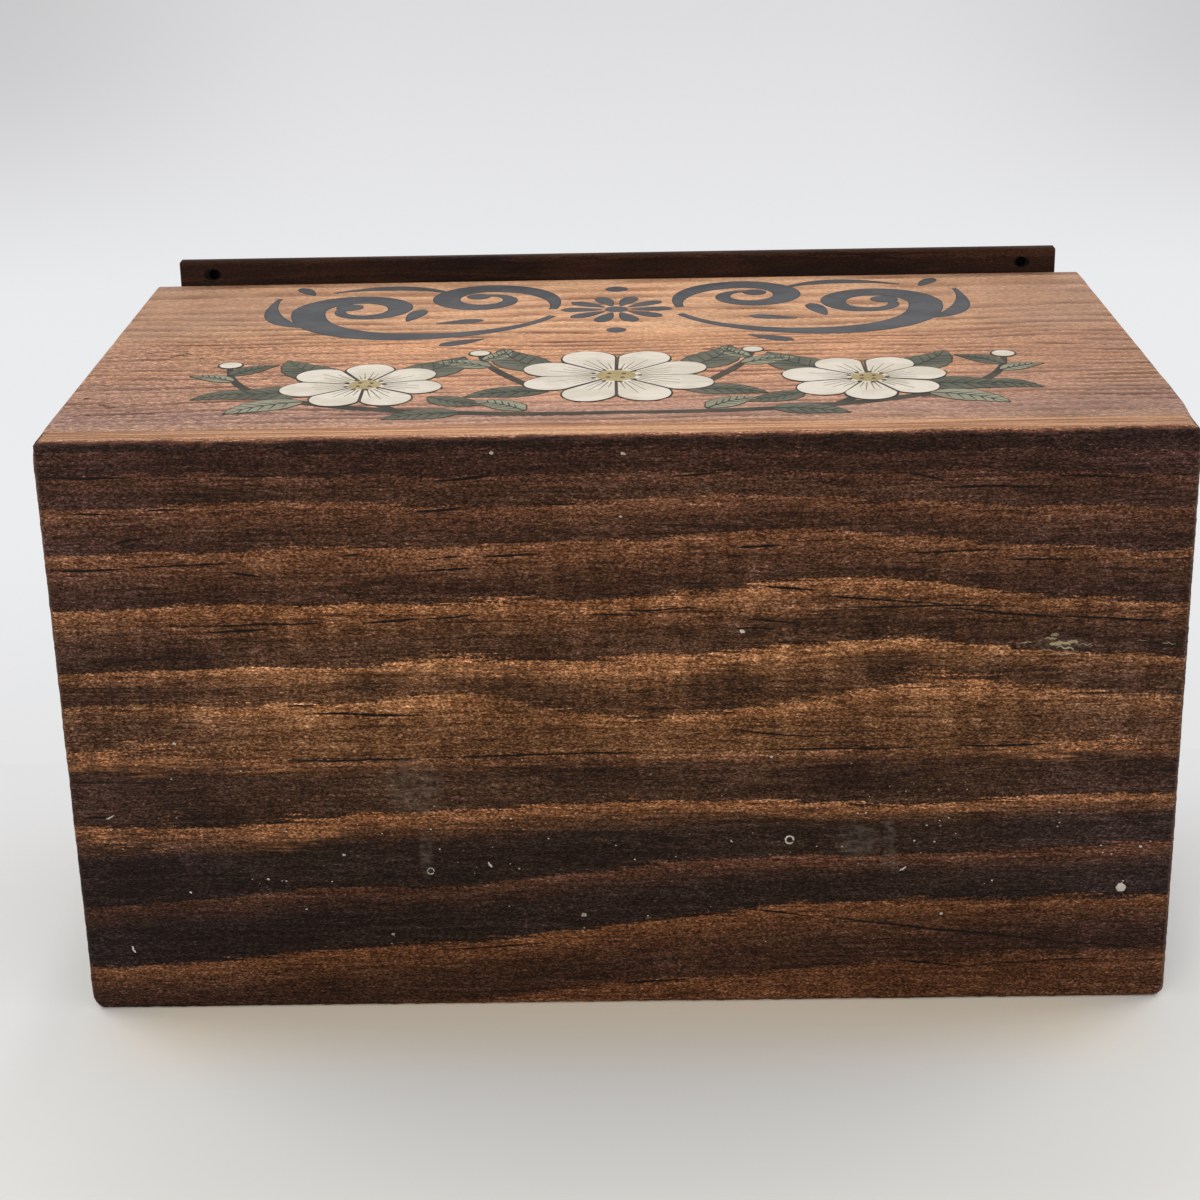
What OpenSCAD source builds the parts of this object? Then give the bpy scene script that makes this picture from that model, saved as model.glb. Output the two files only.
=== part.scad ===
// Wooden recipe card box, lying on its back: X runs across the box, +Y from its bottom board
// to its lid, and +Z out of its front panel. Sizes are in millimetres.

/* [Box] */
// Outer width of the box
box_w = 160; // [145:1:200]
// Height from the underside of the bottom board to the rim
box_h = 96; // [90:0.5:130]
// Depth from the back face to the front face
box_d = 87.8; // [70:0.1:160]
// Thickness of the front panel
front_t = 9.5; // [8:0.1:14]
// Thickness of the back panel
back_t = 9.5; // [9:0.1:14]
// Thickness of each side panel
side_t = 9.5; // [6:0.1:12]
// Thickness of the bottom board
bottom_t = 6.2; // [4:0.1:12]
// How far the bottom board's ends lie inside the walls
bottom_inset = 0.5; // [0:0.1:2]
// Depth that the sides are let into the front and back panels
rabbet_depth = 4.7; // [2:0.1:6]

/* [Lid] */
// How far the lid's ends lie inside the box's ends
lid_inset = 4; // [0:0.5:8]
// Thickness of the lid
lid_t = 9.5; // [8.5:0.1:14]
// How far the lid overhangs the front panel
lid_overhang = 4.2; // [0:0.1:12]
// Gap between the closed lid and the rim
lid_gap = 0.3; // [0.2:0.05:0.6]
// Angle at which the bevels along the back stop the open lid
lid_stop_deg = 105; // [90:1:120]
// Angle by which the two bevels are cut wider than the stop
bevel_play_deg = 1; // [0.5:0.1:3]

/* [Edges] */
// Radius of the worn edges round the front and side faces
edge_r = 0.6; // [0.4:0.1:2]
// Radius of the bottom board's corners
corner_r = 2; // [1.2:0.1:5]
// Radius of the rounded upper edges at the lid's front and ends
lid_round = 8.8; // [0.5:0.1:9]
// Radius of the lid's other edges
lid_ease_r = 0.5; // [0.3:0.1:1]

/* [Hinges] */
// Length of each hinge
hinge_l = 25.4; // [20:0.1:35]
// Distance from the lid's end to the hinge
hinge_inset = 19; // [10:0.5:30]
// Distance from the hinge axis to the leaf's far edge
leaf_reach = 6.5; // [6:0.1:7]
// Thickness of the leaves
leaf_t = 0.9; // [0.85:0.05:1.2]
// Outer diameter of the knuckles
barrel_d = 3.2; // [2.8:0.1:3.6]
// Diameter of the hinge pin
pin_d = 1.5; // [1:0.1:1.8]
// Number of knuckles, the first and last of them on the box leaf
knuckle_count = 5; // [3:2:7]
// Running clearance round the pin in the lid leaf's knuckles
pin_play = 0.05; // [0.01:0.01:0.1]
// Gap between neighbouring knuckles
knuckle_gap = 0.15; // [0.05:0.05:0.4]
// Clearance between a knuckle and what it turns in
barrel_play = 0.25; // [0.15:0.05:0.4]
// Clearance round a leaf in its recess
leaf_play = 0.1; // [0.05:0.05:0.3]
// Distance that the knuckles lie below the back face
barrel_depth = 0.15; // [0.1:0.05:0.5]

/* [Hinge screws] */
// Shank diameter of the hinge screws
screw_d = 1.6; // [1.3:0.1:1.6]
// Head diameter of the hinge screws
screw_head_d = 3.2; // [2.8:0.1:3.2]
// Length of the hinge screws
screw_l = 6.4; // [4:0.1:7]
// Distance from a leaf's end to its nearer screw
screw_end = 5.5; // [3:0.1:7]
// Width of the driver slot
slot_w = 0.5; // [0.3:0.1:0.6]
// Depth of the driver slot
slot_depth = 0.4; // [0.2:0.1:0.6]

/* [Brads] */
// Shank diameter of the brads
brad_d = 1.2; // [0.8:0.1:1.6]
// Head diameter of the brads
brad_head_d = 2; // [1.8:0.1:2.6]
// Length of the brads
brad_l = 15; // [10:0.5:20]
// Depth that the brads are set below the back face
brad_set = 0.4; // [0.2:0.1:1]
// Number of brads on each side
brad_count = 3; // [2:1:6]
// Distance from the end brads to the ends of the side panel
brad_end = 13; // [8:0.5:20]

/* [Nail holes] */
// Diameter of the old nail holes under the lid's overhang
nail_hole_d = 1.7; // [1:0.1:2]
// Depth of the nail holes
nail_hole_depth = 2; // [0.5:0.1:4]
// Distance from the nail holes to the lid's ends
nail_hole_end = 6; // [4:0.1:20]
// Distance from the nail holes to the lid's front edge
nail_hole_front = 2.4; // [1.6:0.1:4]

/* [Hidden] */
$fn = 48;

// Colours of the woods and metals
dark_stain = [0.24, 0.15, 0.10];
light_wood = [0.72, 0.54, 0.42];
brass = [0.71, 0.56, 0.28];
steel = [0.35, 0.33, 0.32];

// Overshoot of cutters past the faces they cut
over = 1;
left = -1;
right = 1;

// The lid's width, the place of its underside, the round that fits its thickness, and the whole height
lid_w = box_w - 2 * lid_inset;
lid_y = box_h + lid_gap;
lid_round_r = min(lid_round, lid_t - lid_ease_r);
total_h = lid_y + lid_t;

// The hinge axis, halfway across the lid's gap and just inside the back face
barrel_r = barrel_d / 2;
axis_y = box_h + lid_gap / 2;
axis_z = barrel_r + barrel_depth;
bevel_deg = (lid_stop_deg + bevel_play_deg) / 2;
hinge_x = lid_w / 2 - hinge_inset - hinge_l / 2;
knuckle_l = (hinge_l - (knuckle_count - 1) * knuckle_gap) / knuckle_count;

// The flat plate of a leaf starts clear of the other leaf's knuckles, with its screws halfway across
plate_from = barrel_r + barrel_play;
screw_z = axis_z + (plate_from + leaf_reach) / 2;
screw_x = hinge_l / 2 - screw_end;

// The faces inside the box
inner_front_z = box_d - front_t;
inner_side_x = box_w / 2 - side_t;

// Moves what is drawn from the bottom board's underside to the middle of the lying box
module in_frame() {
    translate([0, -total_h / 2, 0]) children();
}

// The waste outside a round of radius r at the corner of the first quadrant
module corner_waste(r) {
    difference() {
        translate([-over, -over]) square(r + over);
        translate([r, r]) circle(r);
    }
}

// A rectangle from low to high with its corners rounded: radii runs from the low corner
// anticlockwise, and 0 leaves a corner square
module eased_rect(low, high, radii) {
    corners = [low, [high[0], low[1]], high, [low[0], high[1]]];
    difference() {
        translate(low) square(high - low);
        for (i = [0:3]) if (radii[i] > 0) {
            translate(corners[i]) rotate(90 * i) corner_waste(radii[i]);
        }
    }
}

// Runs an outline drawn in X and Y along Z
module along_z(from, to) {
    translate([0, 0, from]) linear_extrude(to - from) children();
}

// Runs an outline drawn in Y and Z along X, between two places
module along_x(from, to) {
    translate([from, 0, 0]) rotate([90, 0, 90]) linear_extrude(to - from) children();
}

// Runs an outline drawn in X and Z along Y, between two places
module along_y(from, to) {
    translate([0, to, 0]) rotate([90, 0, 0]) linear_extrude(to - from) children();
}

// A round bar along X, centred on the hinge axis
module axis_bar(radius, from, to) {
    translate([from, axis_y, axis_z]) rotate([0, 90, 0]) cylinder(r = radius, h = to - from);
}

// The square recess that a side panel is let into, open at the end and over the rim
module rabbet(side) {
    low_x = side < 0 ? -box_w / 2 - over : inner_side_x;
    translate([low_x, bottom_t - over, back_t - rabbet_depth])
        cube([side_t + over, box_h - bottom_t + 2 * over, box_d - front_t - back_t + 2 * rabbet_depth]);
}

module front_panel() {
    color(light_wood) in_frame() difference() {
        intersection() {
            along_y(bottom_t, box_h)
                eased_rect([-box_w / 2, inner_front_z], [box_w / 2, box_d], [0, 0, edge_r, edge_r]);
            along_x(-box_w / 2, box_w / 2)
                eased_rect([bottom_t, inner_front_z], [box_h, box_d], [0, 0, edge_r, 0]);
        }
        for (side = [left, right]) rabbet(side);
    }
}

module back_panel() {
    color(dark_stain) in_frame() difference() {
        along_y(bottom_t, box_h)
            eased_rect([-box_w / 2, 0], [box_w / 2, back_t], [edge_r, edge_r, 0, 0]);
        for (side = [left, right]) rabbet(side);
        bevel(-1, box_w);
        for (side = [left, right]) {
            leaf_recess(side, -1);
            barrel_pocket(side);
        }
        screws(-1);
        brad_cutters();
    }
}

module left_side() {
    color(dark_stain) in_frame() side_panel(left);
}

module right_side() {
    color(dark_stain) in_frame() side_panel(right);
}

// A side panel, let into the front and back panels, with its outer upper edge eased
module side_panel(side) {
    low_x = side < 0 ? -box_w / 2 : inner_side_x;
    radii = side < 0 ? [0, 0, 0, edge_r] : [0, 0, edge_r, 0];
    difference() {
        along_z(back_t - rabbet_depth, inner_front_z + rabbet_depth)
            eased_rect([low_x, bottom_t], [low_x + side_t, box_h], radii);
        brad_cutters();
    }
}

// The bottom board covers the lower edges of all four walls
module bottom_board() {
    end_x = box_w / 2 - bottom_inset;
    r = corner_r;
    color(dark_stain) in_frame() intersection() {
        along_y(0, bottom_t) eased_rect([-end_x, 0], [end_x, box_d], [r, r, r, r]);
        along_z(0, box_d) eased_rect([-end_x, 0], [end_x, bottom_t], [edge_r, edge_r, 0, 0]);
        along_x(-end_x, end_x) eased_rect([0, 0], [bottom_t, box_d], [edge_r, 0, 0, edge_r]);
    }
}

module lid() {
    front_z = box_d + lid_overhang;
    color(dark_stain) in_frame() difference() {
        intersection() {
            along_z(0, front_z)
                eased_rect([-lid_w / 2, lid_y], [lid_w / 2, total_h],
                           [lid_ease_r, lid_ease_r, lid_round_r, lid_round_r]);
            along_x(-lid_w / 2, lid_w / 2)
                eased_rect([lid_y, 0], [total_h, front_z],
                           [0, lid_ease_r, lid_round_r, lid_ease_r]);
            along_y(lid_y, total_h)
                eased_rect([-lid_w / 2, 0], [lid_w / 2, front_z],
                           [lid_ease_r, lid_ease_r, edge_r, edge_r]);
        }
        bevel(1, lid_w);
        for (side = [left, right]) {
            leaf_recess(side, 1);
            barrel_pocket(side);
            nail_hole(side);
        }
        screws(1);
    }
}

// An old nail hole in the underside of the lid's overhang
module nail_hole(side) {
    translate([side * (lid_w / 2 - nail_hole_end), lid_y - over, box_d + lid_overhang - nail_hole_front])
        rotate([-90, 0, 0]) cylinder(d = nail_hole_d, h = nail_hole_depth + over);
}

// The waste of the bevel along the back: half is -1 on the back panel and 1 on the lid.
// The two bevels meet on the hinge axis, so they close face to face when the lid is open
module bevel(half, width) {
    reach = (axis_z + over) / cos(bevel_deg);
    along_x(-width / 2 - over, width / 2 + over)
        translate([axis_y, axis_z]) polygon([
            [0, 0],
            [half * reach * sin(bevel_deg), -reach * cos(bevel_deg)],
            [0, -reach * cos(bevel_deg)],
        ]);
}

// The recess for one leaf, cut to the leaf's thickness
module leaf_recess(side, half) {
    length = hinge_l + 2 * leaf_play;
    face = half < 0 ? box_h : lid_y;
    translate([side * hinge_x - length / 2, face - (half < 0 ? leaf_t : over), axis_z])
        cube([length, leaf_t + over, leaf_reach + leaf_play]);
}

// The round pocket that the knuckles lie and turn in
module barrel_pocket(side) {
    half_l = hinge_l / 2 + leaf_play;
    axis_bar(barrel_r + barrel_play, side * hinge_x - half_l, side * hinge_x + half_l);
}

// One leaf with its knuckles, its pin bore and its countersunk screw holes
module leaf(side, half) {
    plate_y = half < 0 ? box_h - leaf_t : lid_y;
    bore_r = pin_d / 2 + (half < 0 ? 0 : pin_play);
    start_x = side * hinge_x - hinge_l / 2;
    difference() {
        union() {
            translate([start_x, plate_y, axis_z + plate_from])
                cube([hinge_l, leaf_t, leaf_reach - plate_from]);
            for (i = [half < 0 ? 0 : 1 : 2 : knuckle_count - 1]) {
                x = start_x + i * (knuckle_l + knuckle_gap);
                axis_bar(barrel_r, x, x + knuckle_l);
                translate([x, plate_y, axis_z]) cube([knuckle_l, leaf_t, plate_from + leaf_play]);
            }
        }
        axis_bar(bore_r, start_x - over, start_x + hinge_l + over);
        screws(half);
    }
}

module left_hinge_box_leaf() {
    color(brass) in_frame() leaf(left, -1);
}

module left_hinge_lid_leaf() {
    color(brass) in_frame() leaf(left, 1);
}

module left_hinge_pin() {
    color(brass) in_frame() hinge_pin(left);
}

module right_hinge_box_leaf() {
    color(brass) in_frame() leaf(right, -1);
}

module right_hinge_lid_leaf() {
    color(brass) in_frame() leaf(right, 1);
}

module right_hinge_pin() {
    color(brass) in_frame() hinge_pin(right);
}

module hinge_pin(side) {
    axis_bar(pin_d / 2, side * hinge_x - hinge_l / 2, side * hinge_x + hinge_l / 2);
}

// One countersunk screw, its head at the origin and its point towards +Z
module screw() {
    head_h = (screw_head_d - screw_d) / 2;
    point_h = screw_d;
    cylinder(d1 = screw_head_d, d2 = screw_d, h = head_h);
    cylinder(d = screw_d, h = screw_l - point_h);
    translate([0, 0, screw_l - point_h]) cylinder(d1 = screw_d, d2 = screw_d / 4, h = point_h);
}

// All four screws of one kind: half is -1 for those in the box and 1 for those in the lid
module screws(half) {
    for (side = [left, right], end = [-1, 1]) {
        translate([side * hinge_x + end * screw_x, half < 0 ? box_h : lid_y, screw_z])
            rotate([half < 0 ? 90 : -90, 0, 0]) screw();
    }
}

// The driver slots across the heads of all four screws of one kind
module screw_slots(half) {
    face = half < 0 ? box_h : lid_y;
    slot = [screw_head_d + 2 * over, 2 * slot_depth, slot_w];
    for (side = [left, right], end = [-1, 1]) {
        translate([side * hinge_x + end * screw_x, face, screw_z]) cube(slot, center = true);
    }
}

module box_hinge_screws() {
    color(brass) in_frame() difference() {
        screws(-1);
        screw_slots(-1);
    }
}

module lid_hinge_screws() {
    color(brass) in_frame() difference() {
        screws(1);
        screw_slots(1);
    }
}

// Places a child at each brad, its head at the origin and its point towards +Z
module at_brads() {
    step = (box_h - bottom_t - 2 * brad_end) / (brad_count - 1);
    for (side = [left, right], i = [0 : brad_count - 1]) {
        translate([side * (box_w / 2 - side_t / 2), bottom_t + brad_end + i * step, brad_set])
            children();
    }
}

module brad() {
    head_h = (brad_head_d - brad_d) / 2;
    cylinder(d1 = brad_head_d, d2 = brad_d, h = head_h);
    cylinder(d = brad_d, h = brad_l - brad_d);
    translate([0, 0, brad_l - brad_d]) cylinder(d1 = brad_d, d2 = brad_d / 4, h = brad_d);
}

// The holes that the brads fill, and the dents that their heads are punched into
module brad_cutters() {
    at_brads() {
        brad();
        translate([0, 0, -brad_set - over]) cylinder(d = brad_head_d, h = brad_set + over);
    }
}

module back_brads() {
    color(steel) in_frame() at_brads() brad();
}

front_panel();
back_panel();
left_side();
right_side();
bottom_board();
lid();
left_hinge_box_leaf();
left_hinge_lid_leaf();
left_hinge_pin();
right_hinge_box_leaf();
right_hinge_lid_leaf();
right_hinge_pin();
box_hinge_screws();
lid_hinge_screws();
back_brads();
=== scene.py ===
"""A wooden recipe card box, lying on its back on a pale table.

X runs across the box, +Y from its bottom board to its lid and +Z out of its front panel.
Objects are in metres. Lengths are written in millimetres and turned into metres where they are used.
"""
import math
import random
from types import SimpleNamespace

import bmesh
import bpy
from mathutils import Matrix, Vector
from mathutils.noise import noise as soft_noise


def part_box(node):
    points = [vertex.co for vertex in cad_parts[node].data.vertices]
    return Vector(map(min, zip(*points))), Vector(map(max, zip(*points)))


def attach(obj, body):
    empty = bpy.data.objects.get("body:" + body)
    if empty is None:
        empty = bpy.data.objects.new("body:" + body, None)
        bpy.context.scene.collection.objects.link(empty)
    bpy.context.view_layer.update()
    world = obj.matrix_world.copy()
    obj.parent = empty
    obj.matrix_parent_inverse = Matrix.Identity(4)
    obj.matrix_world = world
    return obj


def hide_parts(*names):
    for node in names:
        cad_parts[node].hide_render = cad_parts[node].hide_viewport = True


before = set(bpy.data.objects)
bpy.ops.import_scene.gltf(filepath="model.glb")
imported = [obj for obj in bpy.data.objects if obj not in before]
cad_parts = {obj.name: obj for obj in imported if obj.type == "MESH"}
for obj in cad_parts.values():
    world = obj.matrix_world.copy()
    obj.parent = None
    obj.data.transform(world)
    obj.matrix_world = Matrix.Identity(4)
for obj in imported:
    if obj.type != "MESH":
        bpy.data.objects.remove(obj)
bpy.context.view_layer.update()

MM = 0.001


def place_of(node):
    """The lowest and highest corners of a node, in millimetres."""
    low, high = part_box(node)
    return Vector(low) / MM, Vector(high) / MM


# Places on the box that the rest follows, in millimetres
board_low, board_high = place_of("bottom_board")
panel_low, panel_high = place_of("front_panel")
_, side_high = place_of("left_side")
_, back_high = place_of("back_panel")
lid_low, _ = place_of("lid")
FRONT = panel_high.z
RIM = panel_high.y
BASE = board_low.y
SEAM = board_high.y
HALF_W = panel_high.x
INNER_X = -side_high.x
INNER_FRONT = panel_low.z
INNER_BACK = back_high.z
RABBET_Z = side_high.z
SIDES = (1, -1)
# Edges sharper than this many degrees show as edges
SHARP = 35

# Camera: its place, how far it looks down, its turn to the left and its roll, in degrees
CAMERA_PLACE = (2.1, -363.4, 180)
CAMERA_DOWN = 20.47
CAMERA_TURN = 0.86
CAMERA_ROLL = -1.13
LENS = 71.31
SENSOR = 36


def add_camera():
    data = bpy.data.cameras.new("camera")
    data.lens = LENS
    data.sensor_width = SENSOR
    data.clip_start = 0.01
    camera = bpy.data.objects.new("camera", data)
    camera.matrix_world = (
        Matrix.Translation(Vector(CAMERA_PLACE) * MM)
        @ Matrix.Rotation(math.radians(CAMERA_TURN), 4, "Z")
        @ Matrix.Rotation(math.radians(90 - CAMERA_DOWN), 4, "X")
        @ Matrix.Rotation(math.radians(CAMERA_ROLL), 4, "Z")
    )
    bpy.context.collection.objects.link(camera)
    bpy.context.scene.camera = camera


def srgb(red, green, blue):
    """A colour given as it looks on a screen, 0 to 255 a channel, as linear light."""
    def linear(value):
        value /= 255
        return value / 12.92 if value <= 0.04045 else ((value + 0.055) / 1.055) ** 2.4
    return (linear(red), linear(green), linear(blue), 1)


def light_of(color):
    """A screen colour, which has three numbers, as linear light; any other colour as it is."""
    return srgb(*color) if isinstance(color, tuple) and len(color) == 3 else color


class Value:
    """What a shader works out at each place. Sums and products of values are values too."""

    def __init__(self, nodes, socket):
        self.nodes = nodes
        self.socket = socket

    def __add__(self, other):
        return self.nodes.math("ADD", self, other)

    def __sub__(self, other):
        return self.nodes.math("SUBTRACT", self, other)

    def __rsub__(self, other):
        return self.nodes.math("SUBTRACT", other, self)

    def __mul__(self, other):
        return self.nodes.math("MULTIPLY", self, other)

    def __truediv__(self, other):
        return self.nodes.math("DIVIDE", self, other)

    def __abs__(self):
        return self.nodes.math("ABSOLUTE", self)

    __radd__ = __add__
    __rmul__ = __mul__


# Axis and angle of the turn that noise gets, because noise that lines up with a face shows rows
NOISE_AXIS = (0.6, 1, 0.35)
NOISE_TURN = 0.85
# How much of a spot, by the square of its reach, is as strong as its middle
SPOT_CORE = 0.15


class Nodes:
    """Short ways to add shader nodes to a tree. Colours of three numbers are screen colours."""

    def __init__(self, tree):
        self.tree = tree

    def feed(self, socket, value):
        if isinstance(value, Value):
            self.tree.links.new(value.socket, socket)
        else:
            socket.default_value = value

    def node(self, kind, inputs=(), **settings):
        made = self.tree.nodes.new(kind)
        for name, value in settings.items():
            setattr(made, name, value)
        for name, value in dict(inputs).items():
            self.feed(made.inputs[name], value)
        return made

    def value(self, kind, inputs=(), output=0, **settings):
        """What one output of a new node gives."""
        return Value(self, self.node(kind, inputs, **settings).outputs[output])

    def math(self, operation, *values, clamp=False):
        return self.value("ShaderNodeMath", enumerate(values), operation=operation, use_clamp=clamp)

    def least(self, first, *others):
        for other in others:
            first = self.math("MINIMUM", first, other)
        return first

    def most(self, first, *others):
        for other in others:
            first = self.math("MAXIMUM", first, other)
        return first

    def step(self, value, start, end, low=0, high=1, kind="SMOOTHSTEP"):
        """A smooth step from low to high while value goes from start to end."""
        inputs = {"Value": value, "From Min": start, "From Max": end, "To Min": low, "To Max": high}
        return self.value("ShaderNodeMapRange", inputs, interpolation_type=kind)

    def line(self, value, start, end, low=0, high=1):
        """A straight ramp from low to high while value goes from start to end."""
        return self.step(value, start, end, low, high, "LINEAR")

    def band(self, value, start, full, last, end):
        """1 while value is between full and last, falling smoothly to 0 at start and at end."""
        return self.step(value, start, full) * self.step(value, end, last)

    def swing(self, noise, reach):
        """A drift of up to reach either way that follows a noise."""
        return self.line(noise, 0, 1, -reach, reach)

    def vector(self, x, y, z):
        return self.value("ShaderNodeCombineXYZ", {"X": x, "Y": y, "Z": z})

    def split(self, vector):
        outputs = self.node("ShaderNodeSeparateXYZ", {0: vector}).outputs
        return [Value(self, socket) for socket in outputs]

    def place(self):
        """The place on the object, as three values in millimetres."""
        where = self.value("ShaderNodeTexCoord", output="Object")
        return self.split(self.value("ShaderNodeVectorMath", {0: where, "Scale": 1 / MM}, operation="SCALE"))

    def noise(self, place, along=1, across=1, detail=2, roughness=0.5):
        """Noise between 0 and 1 around one half, with features about 1 across in its own space.

        Its space is the place's, with X scaled by along and Y and Z by across.
        """
        scale = (along, across, across)
        scaled = self.value("ShaderNodeVectorMath", {0: place, 1: scale}, operation="MULTIPLY")
        turn = {"Vector": scaled, "Axis": NOISE_AXIS, "Angle": NOISE_TURN}
        turned_place = self.value("ShaderNodeVectorRotate", turn)
        inputs = {"Vector": turned_place, "Scale": 1, "Detail": detail, "Roughness": roughness}
        return self.value("ShaderNodeTexNoise", inputs)

    def spot(self, across, up, middle_across, middle_up, reach_across, reach_up, tilt=0):
        """1 in the middle of a soft oval, falling to 0 at its edge; tilt is its rise for each unit across."""
        off_across = across - middle_across
        part_across = off_across / reach_across
        part_up = (up - middle_up - off_across * tilt) / reach_up
        return self.step(part_across * part_across + part_up * part_up, SPOT_CORE, 1, 1, 0)

    def mix(self, factor, first, second, blend="MIX"):
        inputs = {0: factor, 6: light_of(first), 7: light_of(second)}
        return self.value("ShaderNodeMix", inputs, 2, data_type="RGBA", blend_type=blend)

    def glaze(self, factor, color, filter_color):
        """A colour seen through a coloured filter, whose four numbers multiply its light."""
        return self.mix(factor, color, filter_color, "MULTIPLY")

    def tint(self, color, factor):
        """A colour with its brightness multiplied by a number."""
        color = light_of(color)
        if isinstance(color, tuple):
            color = color[:3]
        return self.value("ShaderNodeVectorMath", {0: color, "Scale": factor}, operation="SCALE")

    def ramp(self, value, stops, interpolation="LINEAR"):
        made = self.node("ShaderNodeValToRGB", {"Fac": value})
        ramp = made.color_ramp
        ramp.interpolation = interpolation
        while len(ramp.elements) < len(stops):
            ramp.elements.new(1)
        for element, (place, color) in zip(ramp.elements, stops):
            element.position = place
            element.color = light_of(color)
        return Value(self, made.outputs[0])

    def curve(self, value, points):
        """A smooth curve through points, all between 0 and 1."""
        made = self.node("ShaderNodeFloatCurve", {"Value": value})
        drawn = made.mapping.curves[0]
        while len(drawn.points) < len(points):
            drawn.points.new(0.5, 0.5)
        for point, place in zip(drawn.points, points):
            point.location = place
        made.mapping.update()
        return Value(self, made.outputs[0])


class Shader(Nodes):
    """A material made of nodes round one shader."""

    def __init__(self, name):
        self.material = bpy.data.materials.new(name)
        self.material.use_nodes = True
        super().__init__(self.material.node_tree)
        self.surface = self.tree.nodes["Principled BSDF"]

    def set(self, **values):
        """Sets the shader's own inputs, named in small letters with underscores."""
        named = {socket.name.lower().replace(" ", "_"): socket for socket in self.surface.inputs}
        for name, value in values.items():
            self.feed(named[name], value)

    def bump(self, height, distance):
        """Dents and ridges from heights between 0 and 1; distance is in millimetres."""
        self.set(normal=self.value("ShaderNodeBump", {"Height": height, "Distance": distance * MM}))


# Wood of the bottom board. Its growth rings run along X. For each ring: how far the edge of its
# late wood lies below the front edge, every 20 mm from the left end to the right, in millimetres;
# the colours of its late and early wood under the stain; and the share of the ring over which
# the one fades into the other
BOTTOM_RINGS = [
    ((-9,) * 9, (54, 32, 25), (44, 27, 21), 0.6),
    ((1.5, 1.4, 1.6, 1.9, 2, 2.3, 2.8, 2.7, 3), (68, 42, 32), (55, 34, 27), 0.7),
    ((4.9, 4.6, 5, 5.5, 5.3, 5.3, 6.2, 6.3, 6.5), (82, 52, 37), (62, 40, 31), 0.9),
    ((9.2, 8.9, 9, 9.4, 9.3, 8.3, 9.9, 10.9, 11.2), (100, 64, 43), (64, 41, 32), 0.9),
    ((16.3, 15.9, 15.3, 15.2, 15, 13.6, 14.8, 16.5, 17.2), (114, 74, 49), (64, 41, 31), 0.9),
    ((24.2, 23.8, 23.8, 23.3, 23.6, 21.4, 21.3, 24, 24.9), (136, 90, 58), (70, 46, 34), 0.75),
    ((33.6, 33.2, 33, 32.3, 32.7, 31.2, 30.2, 32, 33.6), (146, 99, 64), (84, 56, 40), 0.7),
    ((38.8, 38.8, 38.7, 38, 41.6, 40, 37.3, 37.9, 39.9), (142, 96, 62), (98, 66, 45), 0.6),
    ((45.7, 47, 47.7, 47.4, 47, 47.4, 46.6, 46.6, 47.4), (116, 77, 51), (60, 40, 30), 0.35),
    ((57.4, 57.6, 56.4, 55.4, 54.4, 54.8, 55.8, 54.7, 54.4), (132, 87, 56), (42, 29, 24), 0.5),
    ((70.8, 69.4, 68, 67.6, 65.1, 64, 63.4, 63, 61.9), (80, 50, 35), (38, 26, 22), 0.5),
    ((81, 79.6, 77.9, 76.8, 74.4, 72.1, 71.2, 71, 70.9), (104, 65, 39), (56, 35, 26), 0.8),
    ((90, 89, 88, 85.8, 83.2, 82.2, 80.6, 79.2, 79), (92, 57, 35), (52, 33, 25), 0.7),
]
# How fast the rings rise into the board's thickness
RING_SLANT = 1.3

# Marks on the bottom board, as middle, reach along and down, and fall towards the right: where its
# stain is darker, where it has worn thin, and where pale dust or scuffing lies on it
DARK_SPOTS = [
    (-59, 57.5, 8, 2, -0.02), (38, 34.5, 8, 2.2), (15, 37.2, 8, 3.6, -0.1), (-13, 39.5, 9, 2.6, 0.05),
    (-74, 40.5, 18, 6), (-30, 21.5, 16, 1.6), (11.5, 17, 3.6, 1.3, 0.1), (12.5, 22.6, 5, 1.4, -0.1),
    (-60, 31.8, 7.5, 1.8, 0.05), (-54, 8, 12, 1.2), (-72, 59.5, 11, 3.4), (36, 28, 17, 2.4, 0.05),
    (32, 52.5, 15, 3.4), (74, 11.2, 6, 1.3, 0.05), (-35, 35.8, 6, 2),
]
GOLDEN_STREAKS = [
    (-72, 47.2, 16, 1.9, 0.03), (-55, 47.8, 9, 0.8), (64, 47.3, 18, 1), (-47, 59, 9, 1.5, -0.05),
    (-20, 33.4, 8, 1.2, 0.12), (-75, 59.6, 4.6, 0.55, 0.45), (-69, 59.2, 3.6, 0.5, 0.6),
    (-64.5, 58.6, 2.6, 0.45, 0.7), (0, 33.8, 7, 1, -0.05), (48, 37.2, 9, 0.8),
]
PALE_SPOTS = [
    (-30, 52, 5, 6), (34, 61.5, 4, 3.6), (-28.6, 62.5, 1.2, 5), (38.6, 60.5, 1.2, 3.2),
    (62, 31.2, 4.6, 1.7, 0.1), (38.8, 64.6, 1.8, 1.9), (38.6, 64.6, 0.9, 1.2),
]
# The ring edges are drawn as curves between 0 and 1, which stand for these depths. The last ring
# ends past them
CURVE_LOW = -10
CURVE_HIGH = 90
LAST_EDGE = 120


def ring_count(s, across, along):
    """How many rings of the bottom board lie above a place, with the part of the next one."""
    def on_curve(depth):
        return (depth - CURVE_LOW) / (CURVE_HIGH - CURVE_LOW)

    edges = []
    for depths, _, _, _ in BOTTOM_RINGS:
        last = len(depths) - 1
        edges.append(s.curve(along, [(i / last, on_curve(depth)) for i, depth in enumerate(depths)]))
    edges.append(on_curve(LAST_EDGE))
    place = on_curve(across)
    count = 0
    for start, end in zip(edges, edges[1:]):
        count += s.math("DIVIDE", place - start, end - start, clamp=True)
    return count


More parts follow.
